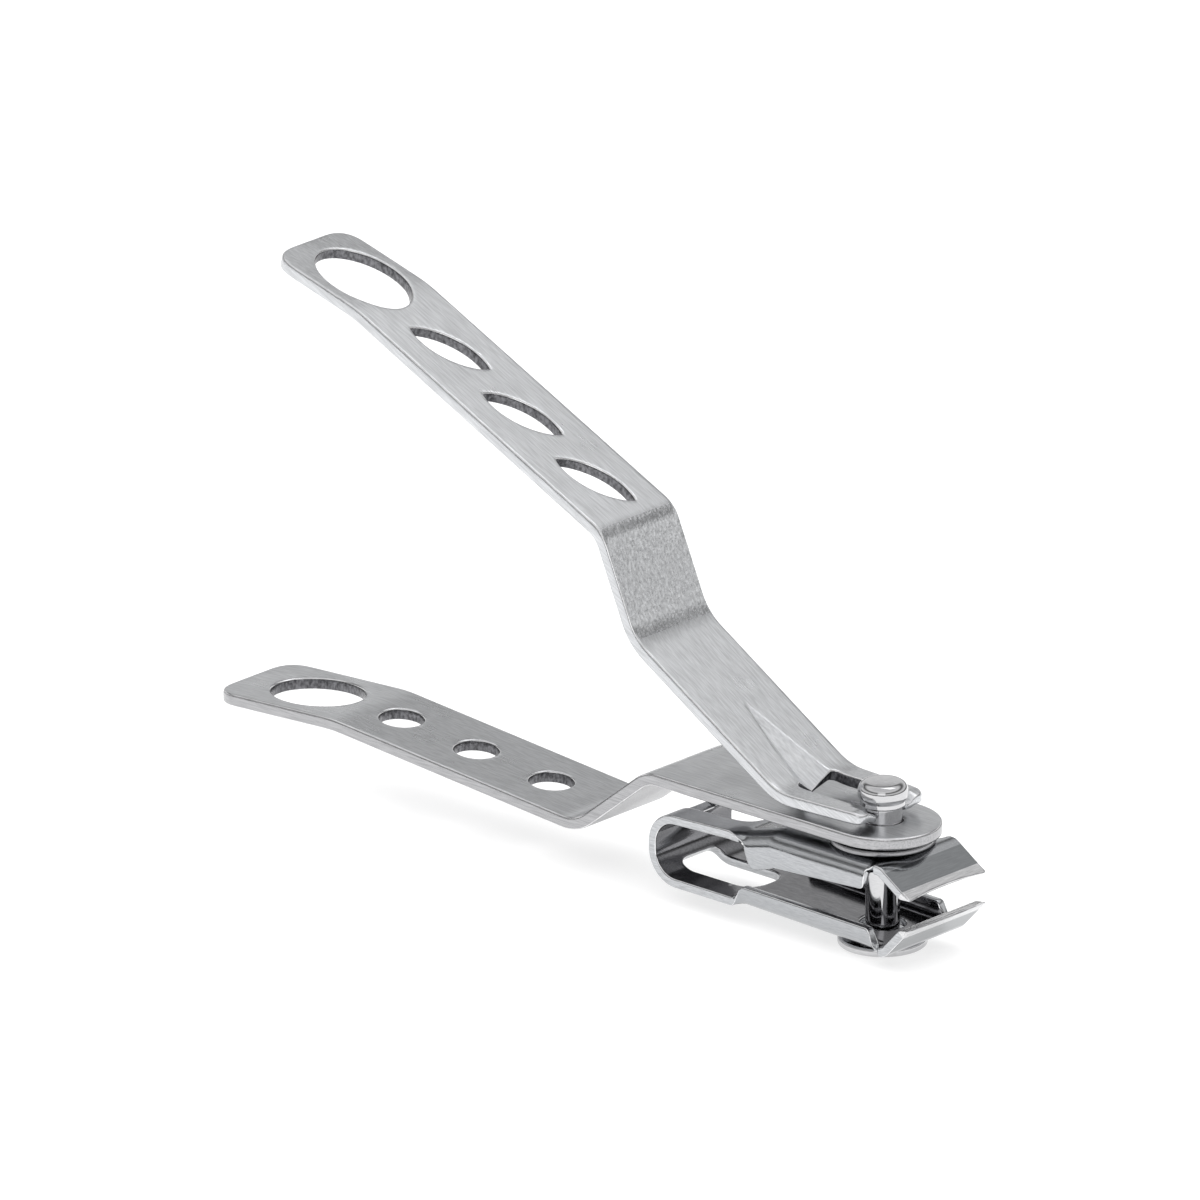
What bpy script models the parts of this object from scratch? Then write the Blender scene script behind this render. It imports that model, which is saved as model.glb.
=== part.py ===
"""Nail clipper with a turning head: two cranked handles, a pin and a U-shaped sprung head."""
import math

import bmesh
import bpy
from mathutils import Matrix, Vector

MM = 0.001
WELD = 0.000001
SHARP = math.radians(35.0)

# Cutters that go right through reach past the part by these heights and half widths.
THROUGH = (-5.0, 90.0)
CLEAR_HALF = 9.0

# Heights are measured from the flat foot of the pin's rivet disc.
PLATE_TOP = 15.0
STOCK = 1.45

# Lower handle: top line of the strip, seen from the side (x, height above the plate top).
HANDLE_LINE = [(7.2, 0.0), (-30.6, 0.0), (-41.4, -8.7), (-79.0, -5.5), (-97.6, -6.5)]
HANDLE_RADII = [0, 5.0, 5.0, 22.0, 0]
HANDLE_HALF = 6.55
FRONT_R = 7.0
TAIL_CORNER = 1.8
HANDLE_HOLE_X = (-50.8, -62.4, -74.0)
HANDLE_HOLE_R = 2.6
HANDLE_HANG_X = -87.0
HANDLE_HANG_SIZE = (6.1, 4.6)
HANDLE_TAIL_X = -97.5

# Upper lever: top line of the strip.
LEVER_LINE = [(1.6, 2.35), (-10.4, 2.35), (-32.2, 15.6), (-37.4, 27.4), (-75.5, 45.3), (-88.6, 49.0)]
LEVER_RADII = [0, 7.0, 7.0, 4.5, 20.0, 0]
LEVER_HALF = 6.35
LEVER_TAIL_HALF = 6.1
LEVER_TAIL_X = -88.4
LEVER_WAIST_X = -36.0
LEVER_FULL_X = -10.0
LEVER_FRONT = (1.5, 5.6)
FORK_HALF = 3.3
FORK_REAR = -10.3
LEAF_X = (-66.4, -55.2, -44.0)
LEAF_LENGTH = 9.6
LEAF_WIDTH = 4.0
LEAF_TURN = math.radians(23.0)
LEVER_HANG_X = -79.7
LEVER_HANG_SIZE = (6.1, 4.6)
# Lugs under the pin's head: height above the plate, thickness, inner and outer faces, ends.
LUG_Z = 0.95
LUG_T = 0.85
LUG_IN = 2.3
LUG_OUT = 4.4
LUG_ENDS = (-1.1, 1.3)
# Pressed groove: its mouth, its point and the radius of the spike that forms it.
GROOVE_MOUTH = (-9.0, 2.75)
GROOVE_POINT = (-22.0, 8.9)
GROOVE_R = 1.9
# Fulcrum bump below the groove, seen from the side (x, height above the plate top).
BUMP = [(-13.6, 2.05), (-11.6, 2.05), (-10.3, 1.45), (-10.3, 0.3), (-11.1, 0.45), (-13.6, 1.95)]
BUMP_HALF = 2.9

# Turning head: outer lines of the two leaves.
HEAD_STOCK = 1.1
HEAD_HALF = 6.6
LEAF_HALF = 6.54
UPPER_LINE = [(-30.0, -8.75), (-30.0, -4.5), (-16.0, -3.9), (-11.5, -2.75), (5.3, -2.75),
              (10.1, -5.85)]
UPPER_RADII = [0, 3.9, 4.0, 4.0, 1.6, 0]
LOWER_LINE = [(-30.0, -9.05), (-30.0, -13.05), (-17.0, -13.1), (6.0, -13.75), (10.1, -9.35)]
LOWER_RADII = [0, 3.9, 20.0, 2.4, 0]
BEND_X = -29.45
BEND_Z = -8.9
WINDOW_HALF = 3.1
WINDOW_REAR = -28.0
UPPER_WINDOW_FRONT = -17.0
LOWER_WINDOW_FRONT = -17.2
JAW_HOLE_R = 2.65
JAW_HOLE_X = 0.1
# Folded sides of the two leaves, seen from the side.
FOLD_T = 1.1
SKIRT = [(-14.6, -4.3), (-13.9, -3.75), (-11.0, -2.95), (3.6, -2.9), (3.6, -5.8), (3.0, -6.2),
         (-3.4, -7.0), (-9.8, -7.8), (-13.8, -8.0), (-14.6, -7.3)]
FLANGE = [(-16.0, -13.0), (4.4, -13.62), (4.4, -11.2), (3.4, -10.6), (-14.9, -10.2), (-16.0, -11.2)]
# Flat grinds that square off the two cutting edges, and the edges' shallow hollow.
UPPER_GRIND = [(7.0, -9.8), (11.5, -9.8), (11.5, -6.05), (7.0, -6.05)]
LOWER_GRIND = [(7.0, -9.3), (11.5, -9.3), (11.5, -6.0), (7.0, -6.0)]
EDGE_REACH = 40.0
EDGE_X = 9.5
EDGE_END = (16.0, 8.5)

# Pin, rivet disc and swivel washer.
PIN_R = 1.98
HEAD_R = 2.9
HEAD_LOW = 1.75
HEAD_TOP = 4.6
HEAD_LIP = 0.25
CROWN = 0.8
FOOT_CHAMFER = 0.2
HOLE_R = 2.3
GAP = 0.3
DISC_R = 5.2
DISC_T = 1.0
DISC_CHAMFER = 0.3
WASHER_R = 6.2
WASHER_T = 0.7
WASHER_CHAMFER = 0.15


def clear_scene():
    for item in list(bpy.data.objects):
        bpy.data.objects.remove(item, do_unlink=True)


def collection(name):
    made = bpy.data.collections.new(name)
    bpy.context.scene.collection.children.link(made)
    return made


def steel(name, colour, roughness):
    made = bpy.data.materials.new(name)
    made.use_nodes = True
    shader = made.node_tree.nodes["Principled BSDF"]
    shader.inputs["Base Color"].default_value = (*colour, 1.0)
    shader.inputs["Roughness"].default_value = roughness
    shader.inputs["Metallic"].default_value = 1.0
    return made


def rounded(points, radii, step=math.radians(7.5)):
    """Round the corners of an open line with true arcs."""
    line = [Vector(points[0])]
    for before, corner, after, radius in zip(points, points[1:], points[2:], radii[1:]):
        corner = Vector(corner)
        back = (Vector(before) - corner).normalized()
        ahead = (Vector(after) - corner).normalized()
        turn = math.pi - back.angle(ahead)
        if radius <= 0 or turn < 1e-4:
            line.append(corner)
            continue
        reach = radius * math.tan(turn / 2)
        centre = corner + (back + ahead).normalized() * (radius / math.cos(turn / 2))
        start = corner + back * reach - centre
        side = 1.0 if (-back).x * ahead.y - (-back).y * ahead.x > 0 else -1.0
        count = max(2, round(turn / step))
        for index in range(count + 1):
            angle = side * turn * index / count
            spin = Matrix.Rotation(angle, 2)
            line.append(centre + spin @ start)
    line.append(Vector(points[-1]))
    return line


def ribbon(line, thickness, side):
    """Closed outline of a strip: the line and its offset to one side."""
    normals = []
    for first, second in zip(line, line[1:]):
        along = (second - first).normalized()
        normals.append(Vector((-along.y, along.x)) * side)
    offset = [line[0] + normals[0] * thickness]
    for point, left, right in zip(line[1:-1], normals, normals[1:]):
        middle = (left + right).normalized()
        offset.append(point + middle * (thickness / middle.dot(left)))
    offset.append(line[-1] + normals[-1] * thickness)
    return list(line) + offset[::-1]


def prism(name, outline, low, high, axis, target, origin=(0, 0, 0)):
    """Extrude an outline: 'y' takes (x, z) points across the width, 'z' takes (x, y) points up."""
    curve = bpy.data.curves.new(name, "CURVE")
    curve.dimensions = "2D"
    curve.fill_mode = "BOTH"
    curve.extrude = (high - low) / 2 * MM
    spline = curve.splines.new("POLY")
    spline.points.add(len(outline) - 1)
    for point, place in zip(spline.points, outline):
        point.co = (place[0] * MM, place[1] * MM, 0, 1)
    spline.use_cyclic_u = True
    flat = bpy.data.objects.new(name, curve)
    target.objects.link(flat)
    bpy.context.view_layer.update()
    mesh = bpy.data.meshes.new_from_object(flat.evaluated_get(bpy.context.evaluated_depsgraph_get()))
    bpy.data.objects.remove(flat)
    middle = (high + low) / 2 * MM
    if axis == "y":
        place = Matrix.Translation((0, middle, 0)) @ Matrix.Rotation(math.pi / 2, 4, "X")
    else:
        place = Matrix.Translation((0, 0, middle))
    mesh.transform(Matrix.Translation(-Vector(origin)) @ place)
    work = bmesh.new()
    work.from_mesh(mesh)
    bmesh.ops.remove_doubles(work, verts=work.verts, dist=WELD)
    bmesh.ops.recalc_face_normals(work, faces=work.faces)
    work.to_mesh(mesh)
    work.free()
    mesh.name = name
    made = bpy.data.objects.new(name, mesh)
    made.location = origin
    target.objects.link(made)
    return made


def turned(name, profile, target, steps=48, closed=False):
    """Turn a profile of (radius, z) points, listed from top to bottom, about the pin axis."""
    mesh = bpy.data.meshes.new(name)
    edges = [(i, i + 1) for i in range(len(profile) - 1)]
    if closed:
        edges.append((len(profile) - 1, 0))
    mesh.from_pydata([(r * MM, 0, z * MM) for r, z in profile], edges, [])
    made = bpy.data.objects.new(name, mesh)
    target.objects.link(made)
    screw = made.modifiers.new("turn", "SCREW")
    screw.steps = steps
    screw.render_steps = steps
    screw.use_merge_vertices = True
    screw.merge_threshold = WELD
    bpy.context.view_layer.update()
    whole = bpy.data.meshes.new_from_object(made.evaluated_get(bpy.context.evaluated_depsgraph_get()))
    made.modifiers.clear()
    made.data = whole
    whole.shade_smooth()
    whole.set_sharp_from_angle(angle=SHARP)
    return made


def through(name, outline, target):
    return prism(name, outline, *THROUGH, "z", target)


def across(name, outline, target):
    return prism(name, outline, -CLEAR_HALF, CLEAR_HALF, "y", target)


def circle(x, y, radius, count=40):
    angles = [math.tau * i / count for i in range(count)]
    return [(x + radius * math.cos(a), y + radius * math.sin(a)) for a in angles]


def oval(x, half_length, half_width, count=44):
    angles = [math.tau * i / count for i in range(count)]
    return [(x + half_length * math.cos(a), half_width * math.sin(a)) for a in angles]


def leaf(x, length, width, turn):
    """Lens outline with small round ends, lying at an angle to the strip."""
    tip = 0.45
    half = length / 2 - tip
    sag = width / 2 - tip
    radius = (half * half + sag * sag) / (2 * sag)
    reach = math.asin(half / radius)
    points = []
    for side in (1, -1):
        for i in range(9):
            angle = reach - 2 * reach * i / 8
            across = radius * math.cos(angle) - (radius - sag) + tip
            points.append((side * radius * math.sin(angle) * (1 + tip / radius), side * across))
        points.append((side * -(half + tip), 0.0))
    spin = Matrix.Rotation(turn, 2)
    return [tuple(Vector((x, 0.0)) + spin @ Vector(p)) for p in points]


def cutter(tool):
    tool.hide_render = True
    tool.display_type = "WIRE"
    return tool


def boolean(target, tool, operation):
    mod = target.modifiers.new(tool.name, "BOOLEAN")
    mod.operation = operation
    mod.solver = "EXACT"
    mod.object = cutter(tool)


def lift(line):
    return [(x, z + PLATE_TOP) for x, z in line]


def end_corner(x, half, radius, count=6):
    """Rounded rear corners of a strip, from the +y side to the -y side."""
    points = []
    for side in (1, -1):
        arc = []
        for i in range(count + 1):
            angle = math.pi / 2 * i / count
            arc.append((x + radius - radius * math.sin(angle),
                        side * (half - radius + radius * math.cos(angle))))
        points += arc if side == 1 else arc[::-1]
    return points


def build_lower_handle(parts, tools):
    line = rounded(lift(HANDLE_LINE), HANDLE_RADII)
    body = across("lower_handle", ribbon(line, STOCK, 1), parts)
    front = []
    for i in range(21):
        angle = math.pi * i / 20
        front.append((FRONT_R * math.sin(angle), -HANDLE_HALF * math.cos(angle)))
    plan = front + end_corner(HANDLE_TAIL_X, HANDLE_HALF, TAIL_CORNER)
    boolean(body, through("handle_plan", plan, tools), "INTERSECT")
    boolean(body, through("handle_pin_hole", circle(0, 0, HOLE_R), tools), "DIFFERENCE")
    for number, x in enumerate(HANDLE_HOLE_X):
        tool = through(f"handle_hole_{number}", circle(x, 0, HANDLE_HOLE_R, 32), tools)
        boolean(body, tool, "DIFFERENCE")
    hang = oval(HANDLE_HANG_X, *HANDLE_HANG_SIZE)
    boolean(body, through("handle_hang", hang, tools), "DIFFERENCE")
    return body


def groove_cutter(tools):
    """Three-sided spike: its mouth is at the fork and its point lies up the lever."""
    mouth = Vector((GROOVE_MOUTH[0], 0, PLATE_TOP + GROOVE_MOUTH[1]))
    apex = Vector((GROOVE_POINT[0], 0, PLATE_TOP + GROOVE_POINT[1]))
    along = apex - mouth
    mesh = bpy.data.meshes.new("lever_groove")
    work = bmesh.new()
    bmesh.ops.create_cone(
        work, cap_ends=True, segments=3, radius1=GROOVE_R * MM, radius2=0, depth=along.length * MM
    )
    work.to_mesh(mesh)
    work.free()
    lean = along.to_track_quat("Z", "Y").to_matrix().to_4x4()
    mesh.transform(Matrix.Translation((mouth + apex) / 2 * MM) @ lean)
    wedge = bpy.data.objects.new("lever_groove", mesh)
    tools.objects.link(wedge)
    return wedge


def build_upper_lever(parts, tools):
    pivot = Vector((0, 0, PLATE_TOP + LUG_Z)) * MM
    line = rounded(lift(LEVER_LINE), LEVER_RADII)
    body = prism("upper_lever", ribbon(line, STOCK, 1), -CLEAR_HALF, CLEAR_HALF, "y", parts, pivot)
    front, front_half = LEVER_FRONT
    plan = [(front, -front_half), (front, front_half)]
    plan += [(LEVER_FULL_X, LEVER_HALF), (LEVER_WAIST_X, LEVER_HALF)]
    plan += end_corner(LEVER_TAIL_X, LEVER_TAIL_HALF, TAIL_CORNER)
    plan += [(LEVER_WAIST_X, -LEVER_HALF), (LEVER_FULL_X, -LEVER_HALF)]
    boolean(body, through("lever_plan", plan, tools), "INTERSECT")
    bump = prism("lever_fulcrum", lift(BUMP), -BUMP_HALF, BUMP_HALF, "y", tools)
    boolean(body, bump, "UNION")
    ahead = front + FORK_HALF
    slot = [(FORK_REAR, -FORK_HALF), (ahead, -FORK_HALF), (ahead, FORK_HALF), (FORK_REAR, FORK_HALF)]
    boolean(body, through("fork_slot", slot, tools), "DIFFERENCE")
    wedge = groove_cutter(tools)
    boolean(body, wedge, "DIFFERENCE")
    for side in (-1, 1):
        back, ahead = LUG_ENDS
        inner, outer = side * LUG_IN, side * LUG_OUT
        block = [(back, inner), (ahead, inner), (ahead, outer), (back, outer)]
        name = "lug_near" if side < 0 else "lug_far"
        low = PLATE_TOP + LUG_Z - LUG_T / 2
        tool = prism(name, block, low, low + LUG_T, "z", tools)
        boolean(body, tool, "UNION")
    for number, x in enumerate(LEAF_X):
        outline = leaf(x, LEAF_LENGTH, LEAF_WIDTH, LEAF_TURN)
        tool = through(f"lever_leaf_{number}", outline, tools)
        boolean(body, tool, "DIFFERENCE")
    hang = oval(LEVER_HANG_X, *LEVER_HANG_SIZE)
    boolean(body, through("lever_hang", hang, tools), "DIFFERENCE")
    return body


def edge_hollow(name, tools):
    """Shallow hollow of the cutting edge, seen from above."""
    arc = []
    for i in range(13):
        angle = math.radians(-12 + 2 * i)
        arc.append((EDGE_X + EDGE_REACH - EDGE_REACH * math.cos(angle), EDGE_REACH * math.sin(angle)))
    end, half = EDGE_END
    return through(name, arc + [(end, half), (end, -half)], tools)


def window(name, front, tools):
    points = [(WINDOW_REAR, -WINDOW_HALF), (front - WINDOW_HALF, -WINDOW_HALF)]
    for i in range(1, 12):
        angle = -math.pi / 2 + math.pi * i / 12
        points.append((front - WINDOW_HALF + WINDOW_HALF * math.cos(angle),
                       WINDOW_HALF * math.sin(angle)))
    points += [(front - WINDOW_HALF, WINDOW_HALF), (WINDOW_REAR, WINDOW_HALF)]
    return through(name, points, tools)


def fold_sides(body, outline, name, tools):
    """Add the folded side walls of a leaf, near and far."""
    for side, place in ((-1, "near"), (1, "far")):
        low, high = sorted((side * (HEAD_HALF - FOLD_T), side * HEAD_HALF))
        boolean(body, prism(f"{name}_{place}", lift(outline), low, high, "y", tools), "UNION")


def build_upper_jaw(parts, tools):
    line = rounded(lift(UPPER_LINE), UPPER_RADII)
    body = prism("upper_jaw", ribbon(line, HEAD_STOCK, -1), -LEAF_HALF, LEAF_HALF, "y", parts)
    fold_sides(body, SKIRT, "upper_skirt", tools)
    boolean(body, across("upper_grind", lift(UPPER_GRIND), tools), "DIFFERENCE")
    boolean(body, edge_hollow("upper_edge", tools), "DIFFERENCE")
    boolean(body, through("upper_jaw_hole", circle(0, 0, HOLE_R), tools), "DIFFERENCE")
    boolean(body, window("upper_window", UPPER_WINDOW_FRONT, tools), "DIFFERENCE")
    return body


def build_lower_jaw(parts, tools):
    pivot = Vector((BEND_X, 0, PLATE_TOP + BEND_Z)) * MM
    line = rounded(lift(LOWER_LINE), LOWER_RADII)
    body = prism("lower_jaw", ribbon(line, HEAD_STOCK, 1), -LEAF_HALF, LEAF_HALF, "y", parts, pivot)
    fold_sides(body, FLANGE, "lower_flange", tools)
    boolean(body, across("lower_grind", lift(LOWER_GRIND), tools), "DIFFERENCE")
    boolean(body, edge_hollow("lower_edge", tools), "DIFFERENCE")
    boolean(body, through("lower_jaw_hole", circle(JAW_HOLE_X, 0, JAW_HOLE_R), tools), "DIFFERENCE")
    boolean(body, window("lower_window", LOWER_WINDOW_FRONT, tools), "DIFFERENCE")
    return body


def build_pin(parts):
    low, high = PLATE_TOP + HEAD_LOW, PLATE_TOP + HEAD_TOP
    profile = [(0, high), (HEAD_R - CROWN, high), (HEAD_R - HEAD_LIP, high - CROWN / 4),
               (HEAD_R, high - CROWN * 3 / 4),
               (HEAD_R, low + HEAD_LIP), (HEAD_R - HEAD_LIP, low), (PIN_R, low),
               (PIN_R, FOOT_CHAMFER), (PIN_R - FOOT_CHAMFER, 0), (0, 0)]
    return turned("post_pin", profile, parts)


def build_ring(name, outer, low, thickness, parts, chamfer):
    high = low + thickness
    profile = [(HOLE_R, high), (outer - chamfer, high), (outer, high - chamfer),
               (outer, low + chamfer), (outer - chamfer, low), (HOLE_R, low)]
    return turned(name, profile, parts, 64, closed=True)


def main():
    clear_scene()
    parts = collection("nail_clipper")
    tools = collection("cutters")
    satin = steel("satin_steel", (0.60, 0.60, 0.61), 0.32)
    blasted = steel("brushed_steel", (0.55, 0.55, 0.56), 0.38)
    bright = steel("polished_steel", (0.68, 0.68, 0.69), 0.14)
    dark = steel("polished_spring_steel", (0.52, 0.52, 0.53), 0.18)
    washer = steel("washer_steel", (0.42, 0.42, 0.43), 0.28)
    build_lower_handle(parts, tools).data.materials.append(satin)
    build_upper_lever(parts, tools).data.materials.append(blasted)
    build_upper_jaw(parts, tools).data.materials.append(dark)
    build_lower_jaw(parts, tools).data.materials.append(dark)
    build_pin(parts).data.materials.append(bright)
    disc = build_ring("rivet_disc", DISC_R, 0.0, DISC_T, parts, DISC_CHAMFER)
    disc.data.materials.append(bright)
    ring = build_ring("swivel_washer", WASHER_R, PLATE_TOP - STOCK - GAP - WASHER_T, WASHER_T,
                      parts, WASHER_CHAMFER)
    ring.data.materials.append(washer)


main()
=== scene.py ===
import math

import bmesh
import bpy
from mathutils import Matrix, Vector


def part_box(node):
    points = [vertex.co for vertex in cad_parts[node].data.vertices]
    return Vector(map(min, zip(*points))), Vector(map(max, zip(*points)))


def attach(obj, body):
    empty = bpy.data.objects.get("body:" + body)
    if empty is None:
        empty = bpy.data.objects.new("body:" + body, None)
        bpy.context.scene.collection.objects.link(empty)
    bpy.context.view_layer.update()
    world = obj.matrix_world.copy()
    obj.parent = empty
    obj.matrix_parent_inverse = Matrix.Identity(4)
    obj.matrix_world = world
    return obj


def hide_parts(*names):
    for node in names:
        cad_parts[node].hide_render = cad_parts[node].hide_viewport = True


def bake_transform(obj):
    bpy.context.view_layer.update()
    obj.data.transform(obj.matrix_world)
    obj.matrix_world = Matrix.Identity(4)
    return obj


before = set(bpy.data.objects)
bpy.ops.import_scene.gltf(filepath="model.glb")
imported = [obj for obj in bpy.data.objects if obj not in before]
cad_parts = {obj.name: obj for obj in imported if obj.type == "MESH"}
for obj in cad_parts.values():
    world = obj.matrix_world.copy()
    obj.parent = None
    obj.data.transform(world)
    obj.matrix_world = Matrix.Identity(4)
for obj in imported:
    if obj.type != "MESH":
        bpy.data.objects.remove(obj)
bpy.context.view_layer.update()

MM = 0.001

# Vertices nearer than this are merged: metres for turned pieces, millimetres for the flat blanks.
WELD = 0.000001
BLANK_WELD = 0.0005
SLIVER = 0.004

# Read from the CAD. PLATE_TOP and HEAD_HALF are in millimetres, the corner points in metres.
PLATE_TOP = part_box("lower_handle")[1].z / MM
HEAD_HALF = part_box("upper_jaw")[1].y / MM
DISC_LOW, DISC_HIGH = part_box("rivet_disc")
WASHER_LOW, WASHER_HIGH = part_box("swivel_washer")
PIN_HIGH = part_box("post_pin")[1]

# From here on all sizes are in millimetres. A side line is a list of (x, height above the plate top).
STOCK = 1.45
EDGE = 0.28
PIN_HOLE_R = 2.3
TAIL_CORNER = 3.4
HANG_HALF_LENGTH = 6.1
HANG_HALF_WIDTH = 4.6

HANDLE_LINE = [(7.0, 0.0), (-30.6, 0.0), (-41.4, -8.7), (-79.0, -5.5), (-97.5, -6.5)]
HANDLE_RADII = [0, 5.0, 5.0, 22.0, 0]
HANDLE_HALF = 6.55
HANDLE_NOSE_STEPS = 30
HANDLE_HOLES = (-50.8, -62.4, -74.0)
HANDLE_HOLE_R = 2.6
HANDLE_HANG_X = -87.0
HANDLE_STEP = 0.6

LEVER_LINE = [(1.5, 2.35), (-10.4, 2.35), (-32.2, 15.6), (-37.4, 27.4), (-75.5, 45.3), (-88.4, 48.9)]
LEVER_RADII = [0, 7.0, 7.0, 4.5, 20.0, 0]
LEVER_HALF = 6.35
LEVER_TAIL_HALF = 6.1
LEVER_CRANK = (-31.6, -37.9)
LEVER_NARROWS_X = -36.0
LEVER_HANG_X = -79.7
LEVER_HANG_EXTRA = 0.4
LEVER_STEP = 0.5
LEAVES = (-66.4, -55.2, -44.0)
FORK_HALF = 3.3
FORK_REAR = -10.3
GROOVE_LENGTH = 12.0
GROOVE_DEPTH = 1.95
GROOVE_BULGE = 0.8
GROOVE_HALF = 2.6

# The fork's two arms end in lugs beside the pin; distances run from the arms' front end.
ARM_FRONT_HALF = 5.5
ARM_FRONT_CORNER = 2.2
ARM_HALF = 5.8
LUG_INNER = 2.35
LUG_LENGTH = 2.6
LUG_CORNER = 0.9
LUG_DROP = 0.95
LUG_THINNING = 0.35
FRONT_FADE = 1.3
FRONT_DROP = 0.3
FRONT_THINNING = 0.25

HEAD_STOCK = 1.1
HEAD_EDGE = 0.2
HEAD_LINE = [(10.0, -5.8), (5.3, -2.75), (-11.5, -2.75), (-16.0, -3.9), (-30.0, -4.5),
             (-30.0, -13.05), (-17.0, -13.1), (6.0, -13.75), (10.0, -9.45)]
HEAD_RADII = [0, 1.6, 4.0, 4.0, 3.95, 4.1, 20.0, 2.4, 0]
HEAD_STEP = 0.4
BEND_FRONT = -29.6
RIVET_HOLE_R = 2.65
WINDOW_HALF = 3.1
WINDOW_REAR = -28.9
UPPER_WINDOW_FRONT = -17.0
LOWER_WINDOW_FRONT = -17.2

# Side skirts of the two jaws: x of the front and the rear end, and how far each hangs down there.
# A notch parts each skirt from its blade; the lower skirt slopes out from LOWER_STEP_X.
SHOULDER = 2.3
UPPER_SKIRT = (2.9, -15.6)
UPPER_DROP = (3.4, 4.5)
LOWER_SKIRT = (3.4, -15.9)
LOWER_DROP = (3.0, 2.75)
UPPER_NOTCH_X = 4.4
LOWER_NOTCH_X = 4.6
LOWER_STEP_X = -17.0

# Widths of the ground edge and of the blade's bright face, and how hollow the cutting edge is.
GRIND = 1.5
GRIND_THINNING = 0.82
BLADE = 4.6
BLADE_CORNER = 0.45
BLADE_HOLLOW = 0.5

# On the flat blank: how level a face's normal is on a flat side and on a wall, and how near to the
# outline a wall lies to belong to it rather than to a hole.
FLAT_FACE = 0.96
WALL_FACE = 0.45
SIDE_BAND = 0.9
TAIL_BAND = 0.5

# Angles in degrees above which a shading edge is sharp.
STRIP_SHARP = 50
TURNED_SHARP = 28


class Route:
    """A side-view line with true arcs at its corners, walked by distance."""

    def __init__(self, points, radii):
        self.parts = []
        start = Vector(points[0])
        for before, corner, after, radius in zip(points, points[1:], points[2:], radii[1:]):
            corner = Vector(corner)
            back = (Vector(before) - corner).normalized()
            ahead = (Vector(after) - corner).normalized()
            turn = math.pi - back.angle(ahead)
            reach = radius * math.tan(turn / 2)
            entry = corner + back * reach
            self.parts.append(("line", start, entry, (entry - start).length))
            centre = corner + (back + ahead).normalized() * (radius / math.cos(turn / 2))
            side = 1.0 if -back.x * ahead.y + back.y * ahead.x > 0 else -1.0
            self.parts.append(("arc", centre, entry - centre, radius * turn, side / radius))
            start = corner + ahead * reach
        last = Vector(points[-1])
        self.parts.append(("line", start, last, (last - start).length))
        self.length = sum(part[3] for part in self.parts)

    def at(self, distance):
        """Place and outward normal at a distance from the front end."""
        left = max(0.0, min(distance, self.length))
        for index, part in enumerate(self.parts):
            if left <= part[3] or index == len(self.parts) - 1:
                break
            left -= part[3]
        if part[0] == "line":
            along = (part[2] - part[1]).normalized()
            place = part[1] + along * left
        else:
            spoke = Matrix.Rotation(left * part[4], 2) @ part[2]
            place = part[1] + spoke
            along = Vector((-spoke.y, spoke.x)).normalized() * (1 if part[4] > 0 else -1)
        return place, Vector((along.y, -along.x))

    def find(self, x, lowest=0.0, highest=None):
        """Distance at which the line first reaches x, searched between two distances."""
        highest = self.length if highest is None else highest
        low, high = lowest, highest
        falling = self.at(low)[0].x > self.at(high)[0].x
        for _ in range(40):
            middle = (low + high) / 2
            if (self.at(middle)[0].x > x) == falling:
                low = middle
            else:
                high = middle
        return (low + high) / 2


def smooth(value):
    value = max(0.0, min(1.0, value))
    return value * value * (3 - 2 * value)


def ring(x, half_length, half_width, count=56):
    turns = [math.tau * i / count for i in range(count)]
    return [(x + half_length * math.cos(a), half_width * math.sin(a)) for a in turns]


def leaf(x, length=10.2, width=4.1, turn=math.radians(-23)):
    """Lens with small round ends, lying at an angle to the strip."""
    half = length / 2
    points = []
    for i in range(48):
        angle = math.tau * i / 48
        along = math.cos(angle)
        points.append((half * along, math.copysign(width / 2 * (1 - along * along) ** 0.8, math.sin(angle))))
    spin = Matrix.Rotation(turn, 2)
    return [tuple(Vector((x, 0)) + spin @ Vector(p)) for p in points]


def fillet(points):
    """Round the corners of a closed outline given as (s, t, corner radius)."""
    rounded = []
    count = len(points)
    for i, point in enumerate(points):
        corner = Vector(point[:2])
        size = point[2]
        back = Vector(points[i - 1][:2]) - corner
        ahead = Vector(points[(i + 1) % count][:2]) - corner
        turn = math.pi - back.angle(ahead)
        if turn < 0.12 or size <= 0:
            rounded.append(tuple(corner))
            continue
        reach = min(size * math.tan(turn / 2), back.length * 0.48, ahead.length * 0.48)
        for step in range(9):
            t = step / 8
            start = corner + back.normalized() * reach
            end = corner + ahead.normalized() * reach
            spot = start * (1 - t) ** 2 + corner * 2 * t * (1 - t) + end * t * t
            rounded.append(tuple(spot))
    return rounded


def blank(name, outlines, thickness, edge):
    """Flat sheet with rounded edges; its top face is at height zero."""
    curve = bpy.data.curves.new(name, "CURVE")
    curve.dimensions = "2D"
    curve.fill_mode = "BOTH"
    curve.bevel_depth = edge
    curve.bevel_resolution = 2
    curve.offset = -edge
    curve.extrude = thickness / 2 - edge
    for outline in outlines:
        spline = curve.splines.new("POLY")
        spline.points.add(len(outline) - 1)
        for point, place in zip(spline.points, outline):
            point.co = (place[0], place[1], 0, 1)
        spline.use_cyclic_u = True
    flat = bpy.data.objects.new(name, curve)
    bpy.context.scene.collection.objects.link(flat)
    bpy.context.view_layer.update()
    depsgraph = bpy.context.evaluated_depsgraph_get()
    mesh = bpy.data.meshes.new_from_object(flat.evaluated_get(depsgraph))
    bpy.data.objects.remove(flat)
    mesh.transform(Matrix.Translation((0, 0, -thickness / 2)))
    return mesh


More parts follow.
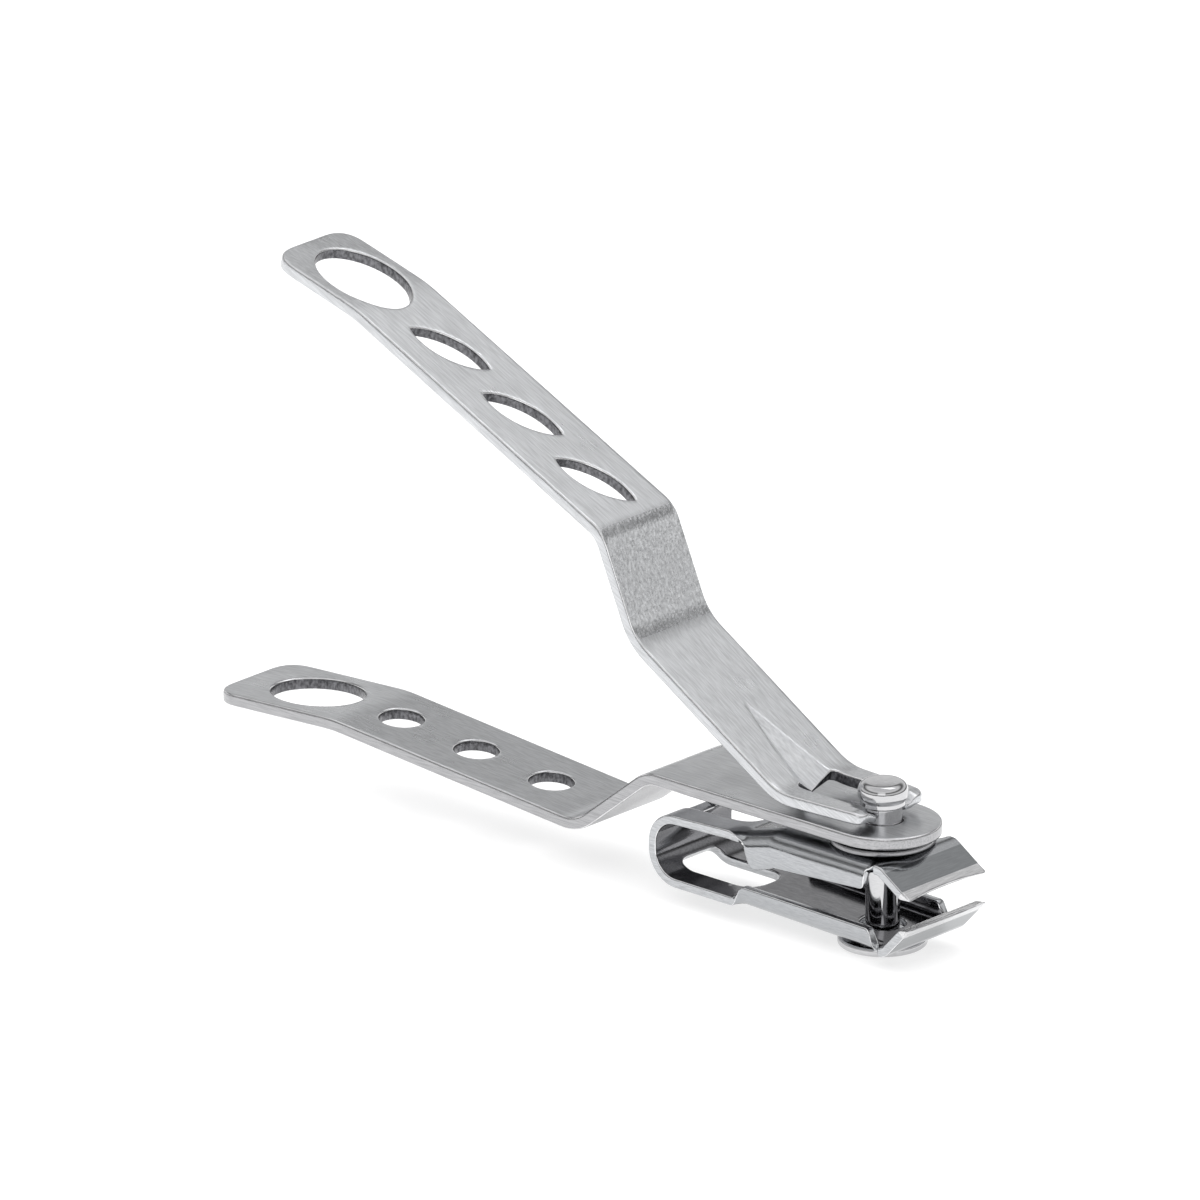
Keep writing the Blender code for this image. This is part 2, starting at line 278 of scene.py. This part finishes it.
def cut(work, axis, places):
    """Cut the blank by planes across an axis: 0 runs along the strip, 1 across it."""
    normal = Vector((1, 0, 0)) if axis == 0 else Vector((0, 1, 0))
    for place in places:
        everything = work.verts[:] + work.edges[:] + work.faces[:]
        bmesh.ops.bisect_plane(work, geom=everything, dist=SLIVER, plane_co=normal * place, plane_no=normal)


def steps(first, last, size):
    """Evenly spaced places between two ends, without the ends, at most a size apart."""
    count = max(1, math.ceil((last - first) / size))
    return [first + (last - first) * i / count for i in range(1, count)]


def formed(name, mesh, cuts_along, cuts_across, place, materials, pick):
    """Cut the flat blank finely, choose each face's material, then bend it to shape in metres."""
    work = bmesh.new()
    work.from_mesh(mesh)
    bmesh.ops.remove_doubles(work, verts=work.verts, dist=BLANK_WELD)
    cut(work, 0, cuts_along)
    cut(work, 1, cuts_across)
    bmesh.ops.dissolve_degenerate(work, dist=SLIVER, edges=work.edges)
    bmesh.ops.triangulate(work, faces=[f for f in work.faces if len(f.verts) > 4])
    bmesh.ops.dissolve_degenerate(work, dist=SLIVER, edges=work.edges)
    bmesh.ops.recalc_face_normals(work, faces=work.faces)
    for face in work.faces:
        face.material_index = pick(face.calc_center_median(), face.normal)
        face.smooth = True
    for vertex in work.verts:
        vertex.co = place(*vertex.co) * MM
    bmesh.ops.recalc_face_normals(work, faces=work.faces)
    work.to_mesh(mesh)
    work.free()
    made = bpy.data.objects.new(name, mesh)
    bpy.context.scene.collection.objects.link(made)
    for material in materials:
        mesh.materials.append(material)
    mesh.set_sharp_from_angle(angle=math.radians(STRIP_SHARP))
    return made


def turned(name, profile, material, steps_round=96):
    """Profile of (radius, height) points from top to bottom, turned about the pin axis."""
    mesh = bpy.data.meshes.new(name)
    edges = [(i, i + 1) for i in range(len(profile) - 1)]
    if profile[0][0] > 0:
        edges.append((len(profile) - 1, 0))
    mesh.from_pydata([(r * MM, 0, z * MM) for r, z in profile], edges, [])
    made = bpy.data.objects.new(name, mesh)
    bpy.context.scene.collection.objects.link(made)
    mesh.materials.append(material)
    screw = made.modifiers.new("turn", "SCREW")
    screw.steps = steps_round
    screw.render_steps = steps_round
    screw.use_merge_vertices = True
    screw.merge_threshold = WELD
    bpy.context.view_layer.update()
    whole = bpy.data.meshes.new_from_object(made.evaluated_get(bpy.context.evaluated_depsgraph_get()))
    made.modifiers.clear()
    made.data = whole
    whole.shade_smooth()
    whole.set_sharp_from_angle(angle=math.radians(TURNED_SHARP))
    return made


def metal(name, colour, roughness, grain, bump, spread=0.05, speckle=0.0, lean=0.0, depth=0.18):
    """Steel with a grain along a strip that leans, cloudy wear and, where asked, a coarse speckle."""
    made = bpy.data.materials.new(name)
    made.use_nodes = True
    nodes = made.node_tree.nodes
    links = made.node_tree.links
    shader = nodes["Principled BSDF"]
    shader.inputs["Metallic"].default_value = 1.0
    where = nodes.new("ShaderNodeTexCoord")
    stretch = nodes.new("ShaderNodeMapping")
    stretch.vector_type = "TEXTURE"
    stretch.inputs["Rotation"].default_value = (0, lean, 0)
    stretch.inputs["Scale"].default_value = [1 / count for count in grain]
    links.new(where.outputs["Object"], stretch.inputs["Vector"])
    lines = nodes.new("ShaderNodeTexNoise")
    lines.inputs["Scale"].default_value = 1.0
    lines.inputs["Detail"].default_value = 5.0
    links.new(stretch.outputs["Vector"], lines.inputs["Vector"])
    cloud = nodes.new("ShaderNodeTexNoise")
    cloud.inputs["Scale"].default_value = 160.0
    cloud.inputs["Detail"].default_value = 3.0
    links.new(where.outputs["Object"], cloud.inputs["Vector"])
    shade = nodes.new("ShaderNodeValToRGB")
    shade.color_ramp.elements[0].position = 0.32
    shade.color_ramp.elements[1].position = 0.68
    shade.color_ramp.elements[0].color = (*[c * (1 - depth) for c in colour], 1)
    shade.color_ramp.elements[1].color = (*[min(1, c * (1 + depth / 2)) for c in colour], 1)
    links.new(lines.outputs["Fac"], shade.inputs["Fac"])
    links.new(shade.outputs["Color"], shader.inputs["Base Color"])
    rough = nodes.new("ShaderNodeMapRange")
    rough.inputs["From Min"].default_value = 0.3
    rough.inputs["From Max"].default_value = 0.7
    rough.inputs["To Min"].default_value = max(0.02, roughness - spread)
    rough.inputs["To Max"].default_value = roughness + spread
    links.new(cloud.outputs["Fac"], rough.inputs["Value"])
    links.new(rough.outputs["Result"], shader.inputs["Roughness"])
    relief = nodes.new("ShaderNodeBump")
    relief.inputs["Strength"].default_value = bump
    relief.inputs["Distance"].default_value = 0.00006
    height = lines.outputs["Fac"]
    if speckle > 0:
        grit = nodes.new("ShaderNodeTexNoise")
        grit.inputs["Scale"].default_value = 3400.0
        grit.inputs["Detail"].default_value = 3.0
        links.new(where.outputs["Object"], grit.inputs["Vector"])
        mix = nodes.new("ShaderNodeMix")
        mix.inputs["Factor"].default_value = speckle
        links.new(lines.outputs["Fac"], mix.inputs["A"])
        links.new(grit.outputs["Fac"], mix.inputs["B"])
        height = mix.outputs["Result"]
    links.new(height, relief.inputs["Height"])
    links.new(relief.outputs["Normal"], shader.inputs["Normal"])
    return made


LONG_GRAIN = (350.0, 5200.0, 5200.0)
CRANK_GRAIN = (1700.0, 3000.0, 3000.0)
ROUND_GRAIN = (1500.0, 1500.0, 9000.0)
FINE_GRAIN = (900.0, 7000.0, 7000.0)
BLADE_GRAIN = (6000.0, 500.0, 6000.0)
LEVER_LEAN = math.radians(27)
CRANK_LEAN = math.radians(66)
# The numbers after each colour are roughness, grain and bump, then spread, speckle, lean and depth.
satin = metal("satin_strip", (0.65, 0.66, 0.675), 0.30, LONG_GRAIN, 0.25)
lever_satin = metal("brushed_lever", (0.73, 0.74, 0.755), 0.32, LONG_GRAIN, 0.3, lean=LEVER_LEAN)
coarse = metal("coarse_crank", (0.73, 0.74, 0.755), 0.24, CRANK_GRAIN, 0.9, 0.06, 0.85, CRANK_LEAN, 0.28)
# Hole walls: rough sheared texture, and a near-black tone that paints the shade inside the holes.
sheared_and_shaded = metal("shear_cut_wall_painted_shade", (0.17, 0.17, 0.18), 0.30, (3000, 3000, 1800), 1.0, 0.1, 0.7, depth=0.6)
# Underside of the handle strip: a darker copy of the top steel, painted shade on the faces that look down.
satin_shaded_bottom = metal("satin_bottom_painted_shade", (0.44, 0.44, 0.45), 0.34, LONG_GRAIN, 0.3)
# Underside of the lever: a darker copy of the lever's top steel, painted shade on the faces that look down.
lever_shaded_bottom = metal("lever_bottom_painted_shade", (0.44, 0.44, 0.45), 0.34, LONG_GRAIN, 0.3, lean=LEVER_LEAN)
# Outer walls of the handle: a darker copy of the strip steel, painted shade on the side walls.
shaded_side_wall = metal("smooth_wall_painted_shade", (0.42, 0.42, 0.43), 0.22, LONG_GRAIN, 0.2, 0.06)
# Walls of the lever: a slightly darker copy of the lever steel, painted shade on the side walls.
lever_wall_painted_shade = metal("lever_wall_painted_shade", (0.61, 0.62, 0.635), 0.26, LONG_GRAIN, 0.25, lean=LEVER_LEAN)
# Rounded rims: lower roughness, and a lighter colour that paints the edge highlight.
rim_highlight = metal("rim_painted_highlight", (0.80, 0.80, 0.81), 0.14, (900, 900, 900), 0.1, 0.03)
spring = metal("polished_spring", (0.44, 0.45, 0.465), 0.16, FINE_GRAIN, 0.08, 0.03, depth=0.12)
# Walls of the head: a lighter copy of the spring steel, painted light on the side walls.
spring_wall_painted_light = metal("spring_wall_painted_light", (0.52, 0.53, 0.545), 0.16, FINE_GRAIN, 0.08, 0.03)
# Inner faces of the bent head: a very dark copy of the spring steel, painted shade and dark reflection
# inside the loop.
inside_shade_and_reflection = metal("loop_inside_painted_shade_and_reflection", (0.20, 0.20, 0.21), 0.13, FINE_GRAIN, 0.1, 0.04, depth=0.3)
ground = metal("ground_edge", (0.70, 0.70, 0.71), 0.22, BLADE_GRAIN, 0.3, 0.04)
# Blade faces: a dark colour that paints the dark reflection in the polished blades.
blade_face_painted_reflection = metal("blade_face_painted_reflection", (0.27, 0.28, 0.29), 0.08, BLADE_GRAIN, 0.05, 0.02, depth=0.1)
chrome = metal("polished_pin", (0.58, 0.58, 0.59), 0.08, ROUND_GRAIN, 0.03, 0.02, depth=0.06)
dull = metal("dull_washer", (0.30, 0.30, 0.31), 0.26, ROUND_GRAIN, 0.2, 0.05)


def strip_pick(half, front, tail, crank=(0.0, 0.0)):
    """Material of a flat blank's face: top, hole wall, rounded rim, crank, outer wall or underside."""
    def pick(centre, normal):
        if normal.z < -FLAT_FACE:
            return 5
        if normal.z > FLAT_FACE:
            return 3 if crank[0] < centre.x < crank[1] else 0
        if abs(normal.z) >= WALL_FACE:
            return 2
        corner = centre.x > tail - TAIL_CORNER and abs(centre.y) > half - TAIL_CORNER
        outside = abs(centre.y) > half - SIDE_BAND or centre.x < front or centre.x > tail - TAIL_BAND
        return 4 if outside or corner else 1
    return pick


def build_handle():
    route = Route(HANDLE_LINE, HANDLE_RADII)
    front = HANDLE_LINE[0][0]
    tail = route.length
    outline = []
    for i in range(HANDLE_NOSE_STEPS + 1):
        angle = math.pi * i / HANDLE_NOSE_STEPS
        outline.append((front - front * math.sin(angle), -HANDLE_HALF * math.cos(angle), 0))
    outline += [(tail, HANDLE_HALF, TAIL_CORNER), (tail, -HANDLE_HALF, TAIL_CORNER)]
    holes = [ring(route.find(x), HANDLE_HOLE_R, HANDLE_HOLE_R) for x in HANDLE_HOLES]
    hang = ring(route.find(HANDLE_HANG_X), HANG_HALF_LENGTH, HANG_HALF_WIDTH)
    pin_hole = ring(front, PIN_HOLE_R, PIN_HOLE_R)
    mesh = blank("handle_strip", [fillet(outline), pin_hole, *holes, hang], STOCK, EDGE)

    def place(s, t, w):
        spot, normal = route.at(s)
        spot = spot + normal * w
        return Vector((spot.x, t, spot.y + PLATE_TOP))

    materials = [satin, sheared_and_shaded, rim_highlight, satin, shaded_side_wall, satin_shaded_bottom]
    pick = strip_pick(HANDLE_HALF, front / 2, tail)
    made = formed("handle_strip", mesh, steps(0, tail, HANDLE_STEP), (), place, materials, pick)
    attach(made, "handle")
    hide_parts("lower_handle")


def build_lever():
    route = Route(LEVER_LINE, LEVER_RADII)
    rear = route.find(FORK_REAR)
    tail = route.length
    far = [(0.0, ARM_FRONT_HALF, ARM_FRONT_CORNER), (ARM_FRONT_CORNER, ARM_HALF, 0), (rear, LEVER_HALF, 0),
           (route.find(LEVER_NARROWS_X), LEVER_HALF, 0), (tail, LEVER_TAIL_HALF, TAIL_CORNER)]
    near = [(s, -t, r) for s, t, r in reversed(far)]
    hook = [(0.0, LUG_INNER, LUG_CORNER), (LUG_LENGTH, LUG_INNER, LUG_CORNER),
            (LUG_LENGTH + 0.4, FORK_HALF, 0.5), (rear, FORK_HALF, LUG_CORNER)]
    inner = [(s, -t, r) for s, t, r in hook] + [(s, t, r) for s, t, r in reversed(hook)]
    outline = fillet(far + near + inner)
    leaves = [leaf(route.find(x)) for x in LEAVES]
    hang = ring(route.find(LEVER_HANG_X), HANG_HALF_LENGTH + LEVER_HANG_EXTRA, HANG_HALF_WIDTH)
    mesh = blank("lever_strip", [outline, *leaves, hang], STOCK, EDGE)

    def groove(s, t):
        """Share of the V-groove's depth here: deepest at the fork, running out up the strip."""
        up = (s - rear) / GROOVE_LENGTH
        if up < 0 or up > 1:
            return 0.0
        half = GROOVE_HALF * (1 - up) + 0.05
        across = abs(t) / half
        return (1 - up) ** 0.7 * max(0.0, 1 - across)

    def place(s, t, w):
        spot, normal = route.at(s)
        hooked = smooth((FORK_HALF + 0.9 - abs(t)) / 1.6) * smooth((LUG_LENGTH + 1.0 - s) / 1.2)
        depth = GROOVE_DEPTH + (GROOVE_BULGE - GROOVE_DEPTH) * -w / STOCK
        nose = 1 - smooth(s / FRONT_FADE)
        shape = w * (1 - LUG_THINNING * hooked) * (1 - FRONT_THINNING * nose)
        offset = shape - depth * groove(s, t) - LUG_DROP * hooked - FRONT_DROP * nose * (1 - hooked)
        spot = spot + normal * offset
        return Vector((spot.x, t, spot.y + PLATE_TOP))

    crank = (route.find(LEVER_CRANK[0]), route.find(LEVER_CRANK[1]))
    materials = [lever_satin, sheared_and_shaded, rim_highlight, coarse, lever_wall_painted_shade, lever_shaded_bottom]
    pick = strip_pick(LEVER_TAIL_HALF, 0.8, tail, crank)
    across = [t / 4 for t in range(-11, 12)] + [-4.2, -3.7, 3.7, 4.2]
    made = formed("lever_strip", mesh, steps(0, tail, LEVER_STEP), across, place, materials, pick)
    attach(made, "lever")
    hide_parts("upper_lever")


def build_head():
    route = Route(HEAD_LINE, HEAD_RADII)
    total = route.length
    half_way = total / 2
    turn_top = route.find(BEND_FRONT, 0, total * 0.47)
    turn_low = half_way + 3
    flat = HEAD_HALF - SHOULDER
    wrap = SHOULDER * math.pi / 2

    def upper(x):
        return route.find(x, 0, turn_top)

    def lower(x):
        return route.find(x, turn_low, total)

    def skirt(drop):
        return flat + wrap + drop - SHOULDER

    upper_front, upper_rear = upper(UPPER_SKIRT[0]), upper(UPPER_SKIRT[1])
    upper_notch = upper(UPPER_NOTCH_X)
    lower_front, lower_rear = lower(LOWER_SKIRT[0]), lower(LOWER_SKIRT[1])
    lower_notch = lower(LOWER_NOTCH_X)
    lower_step = lower(LOWER_STEP_X)
    side = [
        (0.0, HEAD_HALF, BLADE_CORNER), (upper_notch, HEAD_HALF, 0.3),
        (upper_notch + 0.5, HEAD_HALF - 0.5, 0.3), (upper_front, HEAD_HALF, 0.3),
        (upper_front + 0.1, skirt(UPPER_DROP[0]), 0.8), (upper_rear, skirt(UPPER_DROP[1]), 1.2),
        (upper_rear + 0.3, HEAD_HALF, 0.9), (lower_step, HEAD_HALF, 0.8),
        (lower_rear, skirt(LOWER_DROP[1]), 0.9), (lower_front, skirt(LOWER_DROP[0]), 0.8),
        (lower_notch, HEAD_HALF - 0.4, 0.4), (lower_notch + 0.6, HEAD_HALF, 0.3),
        (total, HEAD_HALF, BLADE_CORNER),
    ]

    def hollow(t):
        """How far the cutting edge lies back from its corners."""
        return BLADE_HOLLOW * (1 - (t / HEAD_HALF) ** 2)

    lower_edge = [(total - hollow(t), t, 0) for t in (5, 3, 1, -1, -3, -5)]
    upper_edge = [(hollow(t), t, 0) for t in (-5, -3, -1, 1, 3, 5)]
    outline = side + lower_edge + [(s, -t, r) for s, t, r in reversed(side)] + upper_edge

    def window(first, last, round_first, round_last):
        points = [(first, WINDOW_HALF, round_first), (last, WINDOW_HALF, round_last),
                  (last, -WINDOW_HALF, round_last), (first, -WINDOW_HALF, round_first)]
        return fillet(points)

    holes = [
        ring(upper(0.0), PIN_HOLE_R, PIN_HOLE_R),
        ring(route.find(0.0, half_way, total), RIVET_HOLE_R, RIVET_HOLE_R),
        window(upper(UPPER_WINDOW_FRONT), upper(WINDOW_REAR), 2.8, 1.2),
        window(lower(WINDOW_REAR), lower(LOWER_WINDOW_FRONT), 1.2, 2.8),
    ]
    mesh = blank("sprung_head", [fillet(outline), *holes], HEAD_STOCK, HEAD_EDGE)

    def fold(s):
        """How far the skirts are folded here: 0 flat, 1 a full shoulder."""
        top = smooth((s - upper_notch) / 1.2) * smooth((upper_rear + 2.2 - s) / 2.0)
        bottom = smooth((s - lower_step + 0.4) / 1.4) * smooth((lower_notch + 0.6 - s) / 1.5)
        return max(top, bottom)

    def grind(s):
        return max(smooth(1 - s / GRIND), smooth(1 - (total - s) / GRIND))

    def place(s, t, w):
        w = w * (1 - GRIND_THINNING * grind(s))
        amount = fold(s)
        side_of = math.copysign(1.0, t)
        over = abs(t) - flat
        across, sink = abs(t), w
        if over > 0 and amount > 0:
            radius = SHOULDER / amount
            angle = min(over / radius, amount * math.pi / 2)
            rest = max(0.0, over - angle * radius)
            across = flat + (radius + w) * math.sin(angle) + rest * math.cos(angle)
            sink = (radius + w) * math.cos(angle) - radius - rest * math.sin(angle)
        spot, normal = route.at(s)
        spot = spot + normal * sink
        return Vector((spot.x, side_of * min(across, HEAD_HALF), spot.y + PLATE_TOP))

    def pick(centre, normal):
        from_edge = min(centre.x, total - centre.x)
        if from_edge < GRIND:
            return 3
        if from_edge < BLADE and normal.z > FLAT_FACE:
            return 5
        if normal.z < -FLAT_FACE:
            return 4
        if normal.z > FLAT_FACE:
            return 0
        return 1 if abs(normal.z) < WALL_FACE else 2

    across = [side * (flat + wrap * i / 6) for side in (-1, 1) for i in range(7)]
    along = steps(0, total, HEAD_STEP) + [GRIND, BLADE, total - BLADE, total - GRIND]
    materials = [spring, spring_wall_painted_light, rim_highlight, ground, inside_shade_and_reflection, blade_face_painted_reflection]
    made = formed("sprung_head", mesh, along, across, place, materials, pick)
    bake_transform(made)
    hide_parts("upper_jaw", "lower_jaw")


def build_pin():
    top = PIN_HIGH.z / MM
    head_low = PLATE_TOP + 1.75
    radius = PIN_HIGH.x / MM
    crown = 1.0
    crown_steps = 8
    collar = 2.6
    neck = 2.24
    neck_low = PLATE_TOP - 2.2
    shank = 1.98
    profile = [(0, top), (radius - crown, top)]
    for i in range(1, crown_steps + 1):
        angle = math.pi / 2 * i / crown_steps
        profile.append((radius - crown + crown * math.sin(angle), top - crown * (1 - math.cos(angle))))
    profile += [(radius, head_low + 1.2), (radius - 0.1, head_low + 0.95), (collar + 0.08, head_low + 0.8),
                (collar, head_low + 0.65), (collar, head_low + 0.2), (collar - 0.2, head_low),
                (neck, head_low), (neck, neck_low), (shank, neck_low - 0.3),
                (shank, 0.25), (shank - 0.25, 0.0), (0, 0.0)]
    made = turned("pin_turned", profile, chrome)
    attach(made, "pin")
    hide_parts("post_pin")


def build_ring(name, low, high, node, body, material, inner=PIN_HOLE_R):
    """Flat ring with a rounded outer edge, as wide and as high as its CAD node."""
    outer = high.x / MM
    bottom, top = low.z / MM, high.z / MM
    round_off = (top - bottom) * 0.35
    profile = [(inner, top - 0.08), (inner + 0.08, top), (outer - round_off, top)]
    for i in range(1, 5):
        angle = math.pi / 2 * i / 4
        profile.append((outer - round_off + round_off * math.sin(angle),
                        top - round_off + round_off * math.cos(angle)))
    for i in range(5):
        angle = math.pi / 2 * i / 4
        profile.append((outer - round_off + round_off * math.cos(angle),
                        bottom + round_off - round_off * math.sin(angle)))
    profile.append((inner, bottom))
    made = turned(name, profile, material)
    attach(made, body)
    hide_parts(node)


def build_stage():
    bpy.ops.mesh.primitive_plane_add(size=4.0, location=(0, 0, -0.0004))
    floor = bpy.context.object
    floor.name = "floor"
    paper = bpy.data.materials.new("pale_floor")
    paper.use_nodes = True
    nodes = paper.node_tree.nodes
    shader = nodes["Principled BSDF"]
    shader.inputs["Roughness"].default_value = 0.9
    shader.inputs["Specular IOR Level"].default_value = 0.1
    shader.inputs["Emission Color"].default_value = (1, 1, 1, 1)
    shader.inputs["Emission Strength"].default_value = 0.68
    where = nodes.new("ShaderNodeTexCoord")
    noise = nodes.new("ShaderNodeTexNoise")
    noise.inputs["Scale"].default_value = 30.0
    shade = nodes.new("ShaderNodeValToRGB")
    shade.color_ramp.elements[0].color = (0.38, 0.38, 0.38, 1)
    shade.color_ramp.elements[1].color = (0.41, 0.41, 0.41, 1)
    paper.node_tree.links.new(where.outputs["Object"], noise.inputs["Vector"])
    paper.node_tree.links.new(noise.outputs["Fac"], shade.inputs["Fac"])
    paper.node_tree.links.new(shade.outputs["Color"], shader.inputs["Base Color"])
    floor.data.materials.append(paper)


def area_light(name, place, size, power, shiny=True, aim=(-0.04, 0, 0.025)):
    light = bpy.data.lights.new(name, "AREA")
    light.shape = "RECTANGLE"
    light.size = size[0]
    light.size_y = size[1]
    light.energy = power
    made = bpy.data.objects.new(name, light)
    made.location = place
    made.rotation_euler = (Vector(aim) - Vector(place)).to_track_quat("-Z", "Y").to_euler()
    made.visible_glossy = shiny
    bpy.context.scene.collection.objects.link(made)


def build_light():
    """Soft lights above and on the camera's side, in a room whose bright and dark bands show in steel."""
    world = bpy.data.worlds.new("studio")
    bpy.context.scene.world = world
    world.use_nodes = True
    nodes = world.node_tree.nodes
    links = world.node_tree.links
    sky = nodes["Background"]
    sky.inputs["Strength"].default_value = 0.95
    where = nodes.new("ShaderNodeTexCoord")
    split = nodes.new("ShaderNodeSeparateXYZ")
    shade = nodes.new("ShaderNodeValToRGB")
    links.new(where.outputs["Generated"], split.inputs["Vector"])
    upward = nodes.new("ShaderNodeMapRange")
    upward.inputs["From Min"].default_value = -1.0
    links.new(split.outputs["Z"], upward.inputs["Value"])
    links.new(upward.outputs["Result"], shade.inputs["Fac"])
    links.new(shade.outputs["Color"], sky.inputs["Color"])
    paper = nodes.new("ShaderNodeBackground")
    paper.inputs["Color"].default_value = (1, 1, 1, 1)
    seen = nodes.new("ShaderNodeLightPath")
    either = nodes.new("ShaderNodeMixShader")
    links.new(seen.outputs["Is Camera Ray"], either.inputs["Fac"])
    links.new(sky.outputs["Background"], either.inputs[1])
    links.new(paper.outputs["Background"], either.inputs[2])
    links.new(either.outputs["Shader"], nodes["World Output"].inputs["Surface"])
    ramp = shade.color_ramp
    ramp.elements[0].position = 0.0
    ramp.elements[0].color = (0.9, 0.9, 0.9, 1)
    ramp.elements[1].position = 1.0
    ramp.elements[1].color = (0.8, 0.8, 0.81, 1)
    for position, level in ((0.46, 0.5), (0.5, 0.06), (0.55, 0.15), (0.60, 0.9), (0.69, 0.82), (0.735, 0.35),
                            (0.79, 0.12), (0.83, 0.6), (0.87, 0.95)):
        stop = ramp.elements.new(position)
        stop.color = (level, level, level, 1)
    area_light("floor_wash", (-0.05, 0.0, 1.4), (3.0, 3.0), 42.0, shiny=False)
    area_light("overhead", (-0.05, 0.25, 0.6), (0.3, 0.2), 0.25)
    area_light("camera_side", (0.35, -0.5, 0.35), (0.4, 0.4), 0.35)


def build_camera():
    """Long lens at the viewing angle; the pin stands right of and below the middle."""
    azimuth, elevation = math.radians(42), math.radians(20)
    back = Vector((math.sin(azimuth) * math.cos(elevation),
                   -math.cos(azimuth) * math.cos(elevation), math.sin(elevation)))
    turn = (-back).to_track_quat("-Z", "Y")
    right = turn @ Vector((1, 0, 0))
    up = turn @ Vector((0, 1, 0))
    pin_top = Vector((0, 0, PLATE_TOP * MM))
    shift_left = 0.0322
    shift_up = 0.0249
    target = pin_top - right * shift_left + up * shift_up
    reach = 4.8
    width = 0.1366
    camera = bpy.data.cameras.new("camera")
    camera.sensor_width = 36.0
    camera.lens = 36.0 * reach / width
    camera.clip_start = 0.01
    made = bpy.data.objects.new("camera", camera)
    made.location = target + back * reach
    made.rotation_mode = "QUATERNION"
    made.rotation_quaternion = turn
    bpy.context.scene.collection.objects.link(made)
    bpy.context.scene.camera = made
    bpy.context.scene.view_settings.view_transform = "Standard"


build_camera()
build_handle()
build_lever()
build_head()
build_pin()
build_ring("rivet_disc_turned", DISC_LOW, DISC_HIGH, "rivet_disc", "pin", chrome)
build_ring("washer_turned", WASHER_LOW, WASHER_HIGH, "swivel_washer", "handle", dull)
build_stage()
build_light()
